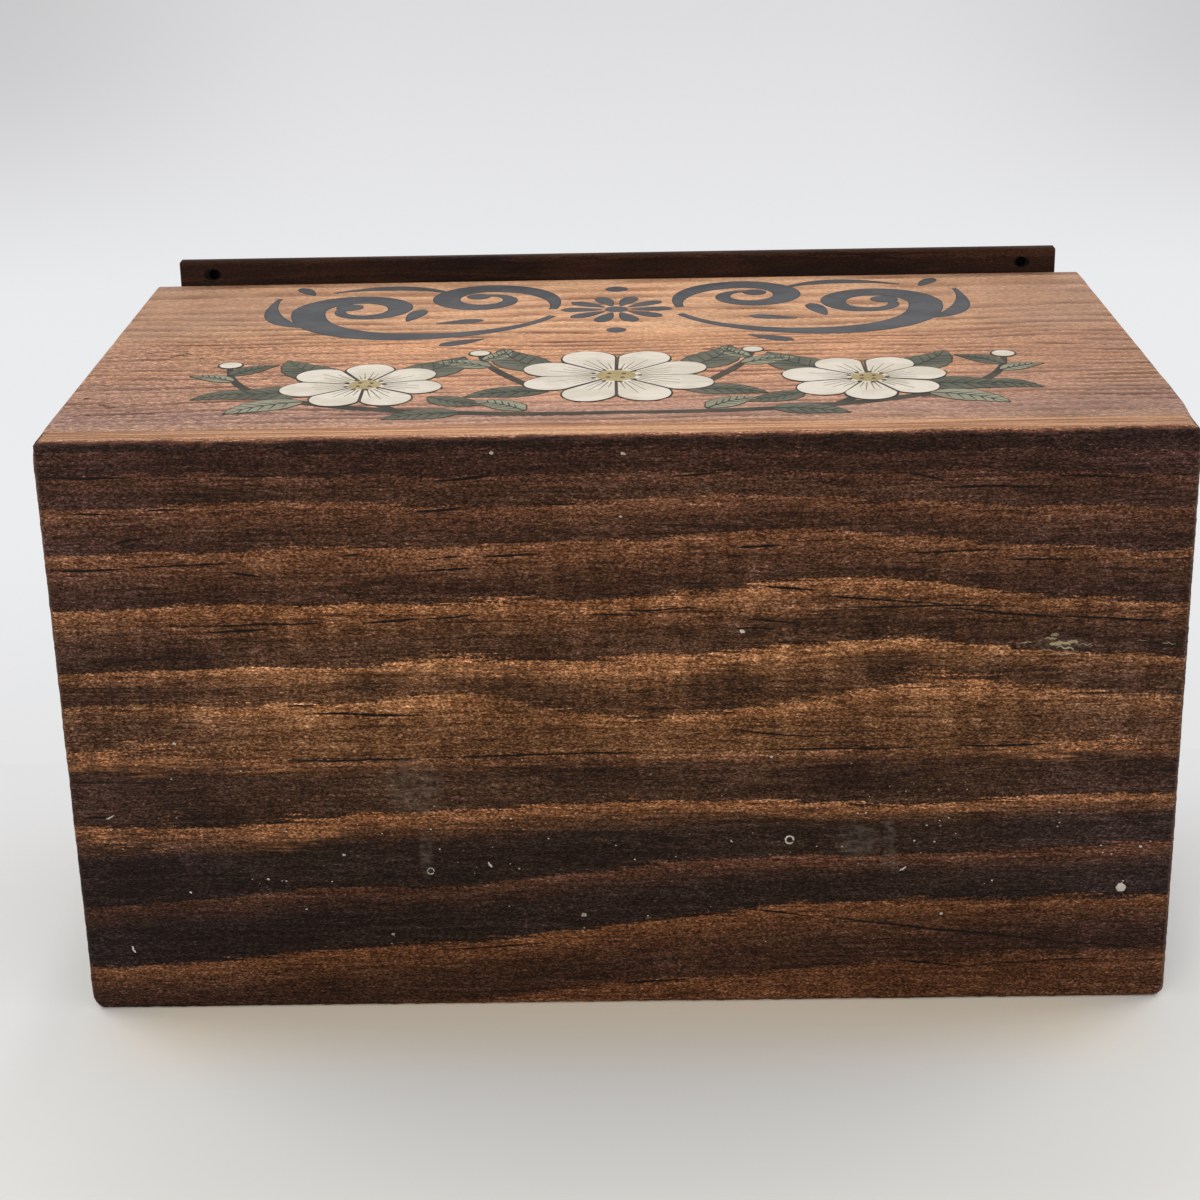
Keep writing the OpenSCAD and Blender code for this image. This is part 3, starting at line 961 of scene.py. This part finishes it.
def add_front_panel(material):
    heights = [SEAM, SEAM + PANEL_EASE] + spread(SEAM + PANEL_EDGE, RIM - PANEL_EDGE, PANEL_STEP)
    heights += [RIM - PANEL_EDGE * (1 - math.sin(turn)) for turn in quarter(RIM_STEPS)[1:]]
    rings = [[(x, y, z) for x, z in panel_section(y)] for y in heights]
    add_board("worn_front_panel", rings, material, "front_panel")


# Paint on the front face: how far one layer lies above the one below it, how far each shape in a
# layer lies above the one before, in how many steps, how deep all layers reach into the wood, and
# the least width of a painted line
PAINT_LAYER = 0.012
PAINT_OVERLAP = 0.0007
PAINT_STEPS = 16
PAINT_DEPTH = 0.05
THINNEST = 0.04
# Where the middles of the two painted ornaments lie along Y
SCROLL_Y = 20.5
GARLAND_Y = -19.6


def on_front(x, y, height):
    return (x, y, FRONT + height)


def on_base(x, depth, height):
    """A place on the bottom board's outer face, at a depth below its front edge."""
    return (x, BASE + SKIN - height, FRONT - depth)


class Painting:
    """Flat painted shapes on one face, gathered into one mesh of closed prisms."""

    def __init__(self, layer, lay=on_front):
        self.lay = lay
        self.top = PAINT_LAYER * layer
        self.shapes = 0
        self.corners = []
        self.faces = []

    def ribbon(self, line, widths):
        """A shape along a line of points, with its full width at each of them."""
        start = len(self.corners)
        last = len(line) - 1
        top = self.top + PAINT_OVERLAP * (self.shapes % PAINT_STEPS)
        self.shapes += 1
        for index, (point, width) in enumerate(zip(line, widths)):
            along = Vector(line[min(index + 1, last)]) - Vector(line[max(index - 1, 0)])
            across = Vector((-along.y, along.x)).normalized() * max(width, THINNEST) / 2
            for side in (across, -across):
                place = Vector(point) + side
                self.corners += [self.lay(*place, top), self.lay(*place, -PAINT_DEPTH)]
            if index:
                new = start + 4 * index
                for i, j in ((0, 1), (1, 3), (3, 2), (2, 0)):
                    self.faces.append((new - 4 + i, new - 4 + j, new + j, new + i))
        self.faces.append((start, start + 1, start + 3, start + 2))
        end = start + 4 * last
        self.faces.append((end, end + 2, end + 3, end + 1))

    def disc(self, middle, radius):
        turns = [math.pi * i / 16 for i in range(17)]
        line = [(middle[0] - radius * math.cos(turn), middle[1]) for turn in turns]
        self.ribbon(line, [2 * radius * math.sin(turn) for turn in turns])

    def add(self, name, material):
        add_piece(name, self.corners, self.faces, material)


class Rimmed:
    """Draws every shape in one painting and, a little larger, in the painting of its rim below it."""

    def __init__(self, fill, rim, extra):
        self.fill = fill
        self.rim = rim
        self.extra = extra

    def ribbon(self, line, widths):
        self.fill.ribbon(line, widths)
        first = Vector(line[0]).lerp(Vector(line[1]), -self.extra / math.dist(line[0], line[1]))
        last = Vector(line[-1]).lerp(Vector(line[-2]), -self.extra / math.dist(line[-1], line[-2]))
        longer = [tuple(first)] + list(line[1:-1]) + [tuple(last)]
        self.rim.ribbon(longer, [width + 2 * self.extra for width in widths])

    def disc(self, middle, radius):
        self.fill.disc(middle, radius)
        self.rim.disc(middle, radius + self.extra)


def bezier(first, second, third, fourth, count=24):
    """Points along a smooth curve with two handles."""
    line = []
    for i in range(count + 1):
        t = i / count
        shares = ((1 - t) ** 3, 3 * t * (1 - t) ** 2, 3 * t * t * (1 - t), t ** 3)
        place = Vector((0, 0))
        for share, point in zip(shares, (first, second, third, fourth)):
            place += share * Vector(point)
        line.append(tuple(place))
    return line


def spiral(middle, start_r, end_r, start, turn, count=40):
    """Points that wind inwards round a middle, from one radius to another; angles are in degrees."""
    line = []
    for i in range(1, count + 1):
        t = i / count
        reach = start_r + (end_r - start_r) * t ** 0.85
        angle = math.radians(start + turn * t)
        line.append((middle[0] + reach * math.cos(angle), middle[1] + reach * math.sin(angle)))
    return line


def swell(line, start, full, end, peak=0.5):
    """Widths along a stroke that swells to a peak and thins out again."""
    widths = []
    for i in range(len(line)):
        t = i / (len(line) - 1)
        rise = t / peak if t < peak else (1 - t) / (1 - peak)
        low = start if t < peak else end
        widths.append(low + (full - low) * math.sin(math.pi / 2 * rise) ** 1.6)
    return widths


def turned(points, root, angle, side=1, lift=0):
    """Points drawn from a root at an angle, mirrored for the left side and lifted along Y."""
    turn = math.radians(angle)
    cos, sin = math.cos(turn), math.sin(turn)
    return [(side * (root[0] + x * cos - y * sin), lift + root[1] + x * sin + y * cos) for x, y in points]


def mirrored(points, side, lift):
    return turned(points, (0, 0), 0, side, lift)


def paint_drop(brush, root, angle, length, width, side=1):
    """A leaflet shaped like a drop, with its round end away from its root."""
    parts = [i / 12 for i in range(13)]
    widths = [1.5 * width * part ** 0.8 * math.sqrt(1 - part ** 2) for part in parts]
    brush.ribbon(turned([(length * part, 0) for part in parts], root, angle, side, SCROLL_Y), widths)


def paint_scrolls(brush):
    """A rosette between a mirrored pair of scrolls with leaflets."""
    for side in SIDES:
        large = bezier((10.5, -4), (19, -21), (51, -22), (51, 2)) + spiral((42, 2), 9, 3.2, 0, 400)
        small = bezier((10.5, 1), (9, 8), (13, 16.5), (22, 16.5)) + spiral((22, 8.3), 8.2, 2.6, 90, -390)
        tail = bezier((48, -9), (55.5, -9), (58.5, 0), (57, 11))
        link = bezier((28.5, 13.5), (33, 18.5), (41, 19), (48, 15))
        strokes = (
            (large, 1, 5.2, 1.1, 0.34), (small, 1, 4.6, 1, 0.36), (tail, 0.5, 2.8, 0.4, 0.45),
            (link, 0.6, 2.6, 0.4, 0.5),
        )
        for line, start, full, end, peak in strokes:
            brush.ribbon(mirrored(line, side, SCROLL_Y), swell(line, start, full, end, peak))
        for line, radius in ((large, 2.1), (small, 1.8)):
            brush.disc(mirrored(line[-1:], side, SCROLL_Y)[0], radius)
        paint_drop(brush, (21, -18.5), -30, 7.5, 3, side)
        paint_drop(brush, (34, -6), 104, 8, 3.2, side)
        paint_drop(brush, (29, -8), 165, 7.5, 2.9, side)
        paint_drop(brush, (51.5, 13.5), 62, 6, 2.6, side)
    for index in range(10):
        turn = math.radians(36 * index)
        paint_drop(brush, (2.6 * math.cos(turn), 2.6 * math.sin(turn)), 36 * index, 6.4, 3)
    for y, radius in ((0, 1.7), (14.5, 1.7), (-14, 1.4)):
        brush.disc((0, SCROLL_Y + y), radius)


def paint_leaf(brush, veins, root, angle, length, width, side, bend):
    """A toothed leaf that bends to one side, with a midrib and side veins."""
    count = 28
    parts = [i / count for i in range(count + 1)]
    line = [(length * t, bend * length * math.sin(math.pi * 0.9 * t)) for t in parts]
    teeth = 0.35 if width > 4 else 0
    widths = []
    for t in parts:
        full = width * math.sin(math.pi * t ** 0.8) ** 0.85 * (1 - 0.15 * t)
        tooth = teeth * abs(math.sin(math.pi * 7 * t)) if 0.12 < t < 0.95 else 0
        widths.append(full + tooth)
    brush.ribbon(turned(line, root, angle, side, GARLAND_Y), widths)
    veins.ribbon(turned(line, root, angle, side, GARLAND_Y), [0.42 - 0.3 * t for t in parts])
    for start in range(5, count - 5, 4):
        x, y = line[start]
        half = widths[start] / 2
        for way in SIDES:
            vein = [(x, y), (x + half * 0.75, y + way * half * 0.78)]
            veins.ribbon(turned(vein, root, angle, side, GARLAND_Y), [0.3, 0.12])


def paint_blossom(brushes, middle, radius, petals, start, draw):
    """An open flower seen from the front, whose petals stop just short of each other."""
    step = 360 / petals
    spread_at = 2 * math.tan(math.radians(step / 2))
    root_r = radius * 0.16
    count = 18
    for index in range(petals):
        turn = math.radians(start + index * step + draw.uniform(-1.5, 1.5))
        way = Vector((math.cos(turn), math.sin(turn)))
        tip_r = radius * draw.uniform(0.94, 1.04)
        shoulder = root_r + 0.62 * (tip_r - root_r)
        full = spread_at * shoulder - 0.5
        # Stations crowd towards the tip, where the petal rounds off
        reaches = [root_r + (tip_r - root_r) * math.sin(math.pi / 2 * i / count) for i in range(count + 1)]
        widths = []
        for reach in reaches:
            past = max(0, (reach - shoulder) / (tip_r - shoulder))
            widths.append(min(spread_at * reach - 0.5, full * math.sqrt(max(0, 1 - past ** 2))))
        brushes["petals"].ribbon([tuple(Vector(middle) + way * reach) for reach in reaches], widths)
        for sway, far in ((-0.22, 0.55), (-0.08, 0.7), (0.08, 0.66), (0.22, 0.52)):
            lean = Vector((math.cos(turn + sway * step / 45), math.sin(turn + sway * step / 45)))
            ends = (0.25 * radius, tip_r * far * draw.uniform(0.85, 1.1))
            line = [tuple(Vector(middle) + lean * end) for end in ends]
            brushes["petal_lines"].ribbon(line, [0.24, 0.1])
    brushes["flower_hearts"].disc(middle, radius * 0.2)
    for ring_r, number, size in ((0.235, 9, 0.38), (0.1, 4, 0.34)):
        for index in range(number):
            turn = math.radians(40 + index * 360 / number)
            place = Vector(middle) + Vector((math.cos(turn), math.sin(turn))) * radius * ring_r
            brushes["stamens"].disc(tuple(place), size)


# Leaves of the garland's right half: root, angle, length, width, whether pale, and bend
GARLAND_LEAVES = [
    ((45, -13.6), -30, 12, 5.6, True, 0.1), ((53, -8.5), -22, 9, 4.2, False, 0.1),
    ((57, -2), 25, 7.5, 3.4, True, 0.1), ((57.8, 1.5), 140, 8.5, 4, False, -0.1),
    ((22, -20.6), -16, 11, 5, False, 0.1), ((13, -20), 32, 9, 4.4, True, 0.12),
    ((33, -1), 128, 15, 8.2, False, 0.12), ((41, -1), 52, 14, 7.4, False, -0.12),
    ((44, -9), -12, 13.5, 6.6, False, 0.12), ((27, -12), 205, 9.5, 4.6, False, 0.1),
    ((10, 2), 62, 15, 7.8, False, -0.12), ((19, 4), 20, 9, 4.4, True, 0.1),
    ((20.2, 8), 118, 7.5, 3.6, True, 0.1), ((10, -10), -14, 12, 5.6, False, 0.12),
]
# Its blossoms: middle, radius, number of petals and the angle of the first
GARLAND_BLOSSOMS = [((0, -2), 15, 8, 22.5), ((37, -5), 12.2, 7, 12), ((-37, -5), 12.2, 7, 142.3)]


def paint_garland(brushes):
    draw = random.Random(7)
    for side in SIDES:
        arm = bezier((-0.4, -21.4), (14, -22.2), (36, -21), (50, -11))
        arm += bezier((50, -11), (55, -7), (58, -1), (58.5, 6))[1:]
        twig = bezier((30, -20), (34, -17), (36, -12), (37, -8))
        sprig = bezier((12, -8), (17, 0), (20, 5), (20.8, 11))
        for line, start, full, end in ((arm, 1.1, 1.6, 0.7), (twig, 1.2, 1.3, 0.8), (sprig, 1, 1.2, 0.6)):
            brushes["stems"].ribbon(mirrored(line, side, GARLAND_Y), swell(line, start, full, end, 0.3))
        glint = [(x, y + 0.25) for x, y in arm[2:-4]]
        widths = swell(glint, 0.35, 0.65, 0.3, 0.4)
        brushes["stem_highlights"].ribbon(mirrored(glint, side, GARLAND_Y), widths)
        for root, angle, length, width, is_pale, bend in GARLAND_LEAVES:
            brush = brushes["pale_leaves" if is_pale else "leaves"]
            paint_leaf(brush, brushes["leaf_veins"], root, angle, length, width, side, bend)
        for middle, radius in (((58.7, 7.5), 1.7), ((21, 12.4), 1.5)):
            brushes["petals"].disc(mirrored([middle], side, GARLAND_Y)[0], radius)
    for middle, radius, petals, start in GARLAND_BLOSSOMS:
        place = (middle[0], middle[1] + GARLAND_Y)
        paint_blossom(brushes, place, radius, petals, start, draw)


# Painted pieces of the front, each kind from the wood outwards: layer, and the paint's two colours
PAINTS = {
    "scroll_rims": (1, (62, 64, 71), (70, 72, 78)),
    "scrolls": (2, (76, 77, 80), (85, 85, 87)),
    "stems": (1, (160, 150, 120), (138, 124, 94)),
    "stem_highlights": (2, (196, 188, 158), (176, 166, 134)),
    "leaf_outlines": (3, (56, 54, 46), (74, 66, 54)),
    "leaves": (4, (86, 87, 74), (102, 100, 86)),
    "pale_leaves": (5, (150, 148, 126), (130, 128, 108)),
    "leaf_veins": (6, (56, 58, 48), (66, 66, 54)),
    "petal_outlines": (7, (56, 54, 46), (74, 66, 54)),
    "petals": (8, (224, 214, 200), (208, 198, 182)),
    "petal_lines": (9, (120, 112, 96), (140, 130, 110)),
    "flower_hearts": (9, (180, 162, 116), (160, 140, 98)),
    "stamens": (10, (66, 54, 42), (82, 68, 50)),
}
# What has a rim: its painting, the one that its rim is in, and how wide the rim is
RIMS = (
    ("scrolls", "scroll_rims", 0.22), ("stems", "leaf_outlines", 0.15), ("leaves", "leaf_outlines", 0.25),
    ("pale_leaves", "leaf_outlines", 0.25), ("petals", "petal_outlines", 0.3),
)


def decorate():
    paintings = {name: Painting(layer) for name, (layer, _, _) in PAINTS.items()}
    brushes = dict(paintings)
    for fill, rim, extra in RIMS:
        brushes[fill] = Rimmed(paintings[fill], paintings[rim], extra)
    paint_scrolls(brushes["scrolls"])
    paint_garland(brushes)
    for name, (_, color, other) in PAINTS.items():
        paintings[name].add("painted_" + name, paint(name + "_paint", color, other))


# Old drips and flecks on the bottom board: place along X and depth below its front edge, length,
# width and angle
FLECKS = [
    (-17, 2.1, 0.6, 0.45, 0), (17.3, 28.7, 0.8, 0.5, 30), (-63.8, 44.7, 0.5, 0.4, 0),
    (1, 2.5, 0.8, 0.4, 20), (0.5, 11.5, 0.5, 0.3, 0), (-19.3, 64.6, 1.1, 0.3, 60),
    (-5.8, 73, 0.8, 0.7, 0), (72.5, 69.5, 1.5, 1.4, 0), (40.7, 66.1, 1.2, 0.25, -30),
    (-72.5, 77.8, 1.2, 0.3, 70), (-51.8, 66.5, 0.4, 0.4, 0), (-40.5, 62.7, 0.5, 0.3, 0),
    (-34, 75.8, 0.5, 0.4, 0), (-46.5, 71.5, 0.4, 0.3, 0), (-63.3, 68.5, 0.4, 0.3, 40),
    (21.5, 48, 0.5, 0.3, 0), (46.5, 73.5, 0.5, 0.4, 0), (15.8, 61.3, 0.5, 0.3, 50),
    (75, 63, 0.5, 0.4, 0), (-74, 56.2, 1.4, 0.25, -25),
]
# Scuffs near the same board's right end, given in the same way
SCUFFS = [
    (56.8, 31, 2, 0.16, -4), (60.4, 30.5, 1.8, 0.3, 8), (61.8, 31.2, 3, 0.6, 8),
    (62.6, 31.9, 2.6, 0.3, 10), (61, 29.9, 1.2, 0.5, -5), (63.6, 31, 1.6, 0.5, 4),
    (65.4, 31.4, 2.2, 0.14, 3), (60.2, 32.2, 1.8, 0.12, 6), (62.2, 32.8, 2.4, 0.12, 2),
    (73.2, 30.9, 1.4, 0.12, 0), (77, 31.4, 2, 0.14, 2),
]
# Dark cracks along its grain: left end, depth there, length, and how much lower the right end lies
CRACKS = [
    (-79, 4.7, 12, 0.3), (-51.5, 4.9, 5.5, 0), (-75.7, 10, 6.2, 0), (-65.3, 9.8, 6, -0.2),
    (-70.2, 14.4, 5.2, -0.8), (-79, 18.2, 10.7, 0.1), (-67.7, 17.9, 14.7, -0.3), (-54, 18.9, 4.5, 0.5),
    (-38.7, 16.7, 3.2, -0.3), (-59, 26.9, 18, -0.3), (-58, 27.7, 9, -0.2), (-36, 26.6, 8, -0.4),
    (-48, 39.2, 5, 0), (-45, 40.3, 17, 0.5), (-25.3, 5.9, 8.8, -0.4), (7, 5.9, 8, -0.6),
    (-28, 10.4, 8, -0.3), (-10, 9.7, 4.5, -0.2), (-27, 17.5, 5.5, -0.3), (-19, 17.2, 8.7, -0.4),
    (-28, 19.1, 8, -0.4), (16.5, 16.3, 6, -0.3), (20, 22, 8, 0.8), (-4.6, 25.9, 7.1, 0.1),
    (0, 25.4, 11, -0.3), (-27, 26.2, 7, -0.5), (17.5, 26.8, 8, 0.9), (16, 28.2, 6, 0.2),
    (60.3, 6.6, 10, 0.3), (40, 5.9, 5, 1), (44, 8, 16, -0.1), (40, 17.3, 13, -0.1), (54, 18.6, 9, 0),
    (28, 23.7, 18, 1.4), (30, 25.5, 26, -0.1), (45, 25.7, 17, 1.6), (62, 27.2, 15, 0.9),
    (72, 31, 6, 0.7), (-48, 47.8, 20, -0.3), (-28, 47.4, 31, -0.3), (15.5, 43.7, 12.5, 1.3),
    (20, 46.9, 22, 0), (48, 46.6, 14, 0.1), (-27, 78.5, 17, -0.9), (17.5, 72.3, 10.5, 1.4),
    (28, 73.7, 35, 4.5), (63, 78.2, 14, 1.5), (40, 81, 10, 1.3), (50, 82.2, 21, -1.2),
    (0, 84.4, 10, -0.7), (-78, 56.2, 4.5, 0.1), (39.8, 50.5, 1.5, 0.7),
]
# The least and the greatest width of a crack, and how far apart its points lie
CRACK_WIDTHS = (0.28, 0.44)
CRACK_STEP = 0.6
# Nicks in the front face, given as the flecks are, but by their distance below the rim
NICKS = [
    (-67.6, 48.6, 2.4, 0.6, 5), (-66.4, 47.6, 1.5, 0.5, -25), (-68.8, 49.6, 1, 0.5, 30),
    (-72.5, 47, 0.9, 0.5, 0), (-64, 50.4, 0.8, 0.5, 10), (-61.5, 46, 0.6, 0.4, 0),
    (-73.8, 76.6, 2, 0.5, -20), (-72.6, 77.8, 1.6, 0.5, 20), (-77, 72.5, 0.9, 0.5, 0),
    (-69.6, 80.2, 0.8, 0.4, 0), (-75, 81.5, 0.7, 0.4, 15), (14, 49.6, 1.6, 0.8, 0),
    (15, 48.8, 0.8, 0.4, 40), (23, 51, 1.6, 0.4, 6), (25.2, 50.4, 0.8, 0.4, 0),
]
# Rings that drops have left on the bottom board: middle, radius and width of the line
DRIP_RINGS = [((-28, 65.5), 0.5, 0.16), ((24.2, 61.2), 0.6, 0.28)]
# How many specks of dust lie over the board's lower half, and the least and greatest size of one
DUST_COUNT = 90
DUST_SIZE = (0.12, 0.3)


def daub(brush, places, draw):
    """Short ragged strokes that thin out at both ends."""
    for x, depth, length, width, angle in places:
        line = [(length * (i / 8 - 0.5), 0.08 * length * draw.uniform(-1, 1)) for i in range(9)]
        widths = [width * math.sqrt(1 - (i / 4 - 1) ** 2) * draw.uniform(0.6, 1.2) for i in range(9)]
        brush.ribbon(turned(line, (x, depth), angle), widths)


def add_nicks():
    nicks = Painting(1)
    places = [(x, RIM - below, length, width, angle) for x, below, length, width, angle in NICKS]
    daub(nicks, places, random.Random(5))
    nicks.add("front_nicks", paint("nick_paint", (52, 31, 24), (72, 44, 34), 0.7))


def add_cracks():
    draw = random.Random(23)
    lines = Painting(1, on_base)
    for left, depth, length, fall in CRACKS:
        full = draw.uniform(*CRACK_WIDTHS)
        line = []
        widths = []
        for x in spread(left, left + length, CRACK_STEP):
            part = (x - left) / length
            wander = 0.25 * soft_noise((x * 0.15, depth, 0)) + draw.uniform(-0.03, 0.03)
            line.append((x, depth + fall * part + wander))
            widths.append(full * math.sqrt(max(0, math.sin(math.pi * part))) * draw.uniform(0.5, 1.15))
        lines.ribbon(line, widths)
    lines.add("grain_cracks", paint("crack_paint", (13, 7, 5), (24, 14, 10), 0.7))


def add_flecks():
    draw = random.Random(11)
    scuffs = Painting(2, on_base)
    daub(scuffs, SCUFFS, draw)
    scuffs.add("scuffs", paint("scuff_paint", (160, 148, 118), (118, 98, 74), 0.7))
    flecks = Painting(2, on_base)
    daub(flecks, FLECKS, draw)
    for _ in range(DUST_COUNT):
        place = (draw.uniform(-76, 76), draw.triangular(40, 80, 62))
        size = draw.uniform(*DUST_SIZE)
        line = [(place[0] - size / 2, place[1]), place, (place[0] + size / 2, place[1])]
        flecks.ribbon(line, [size / 3, size * draw.uniform(0.6, 1), size / 3])
    for middle, radius, width in DRIP_RINGS:
        line = spiral(middle, radius, radius * 0.95, 20, 350, 20)
        flecks.ribbon(line, [width * draw.uniform(0.4, 1.2) for _ in line])
    flecks.add("dried_flecks", paint("fleck_paint", (196, 190, 178), (150, 142, 128), 0.7))


def dress(node, material):
    """Gives a CAD node its material."""
    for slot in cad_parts[node].material_slots:
        slot.material = material


# Old nail holes under the lid's overhang have darkened the wood round them
HOLE_STAINS = [(-70.3, 89.6, 1.9, 1.3), (70.2, 89.5, 1.7, 1.2)]
# Stained boards: the axis of the grain, where the pith lies, the rings' spacing, a seed, and dark spots
STAINED_BOARDS = {
    "left_side": ("Z", (30, -70), 3.6, 11),
    "right_side": ("Z", (-40, 60), 4.2, 23),
    "back_panel": ("X", (20, 55), 4, 37),
    "lid": ("X", (-10, 30), 2.3, 51, HOLE_STAINS),
}

bpy.context.scene.view_settings.view_transform = "Standard"
add_camera()
set_world()
add_table()
add_lamps()

add_bottom_board(bottom_board_wood())
add_front_panel(front_panel_wood())
decorate()
add_nicks()
add_cracks()
add_flecks()
for node, settings in STAINED_BOARDS.items():
    dress(node, stained_wood(node + "_wood", *settings))

aged_brass = metal("aged_brass", (0.44, 0.30, 0.12, 1), (0.27, 0.18, 0.08, 1), 0.36)
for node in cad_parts:
    if "hinge" in node:
        dress(node, aged_brass)
dress("back_brads", metal("dark_steel", (0.16, 0.15, 0.14, 1), (0.06, 0.045, 0.035, 1), 0.42))
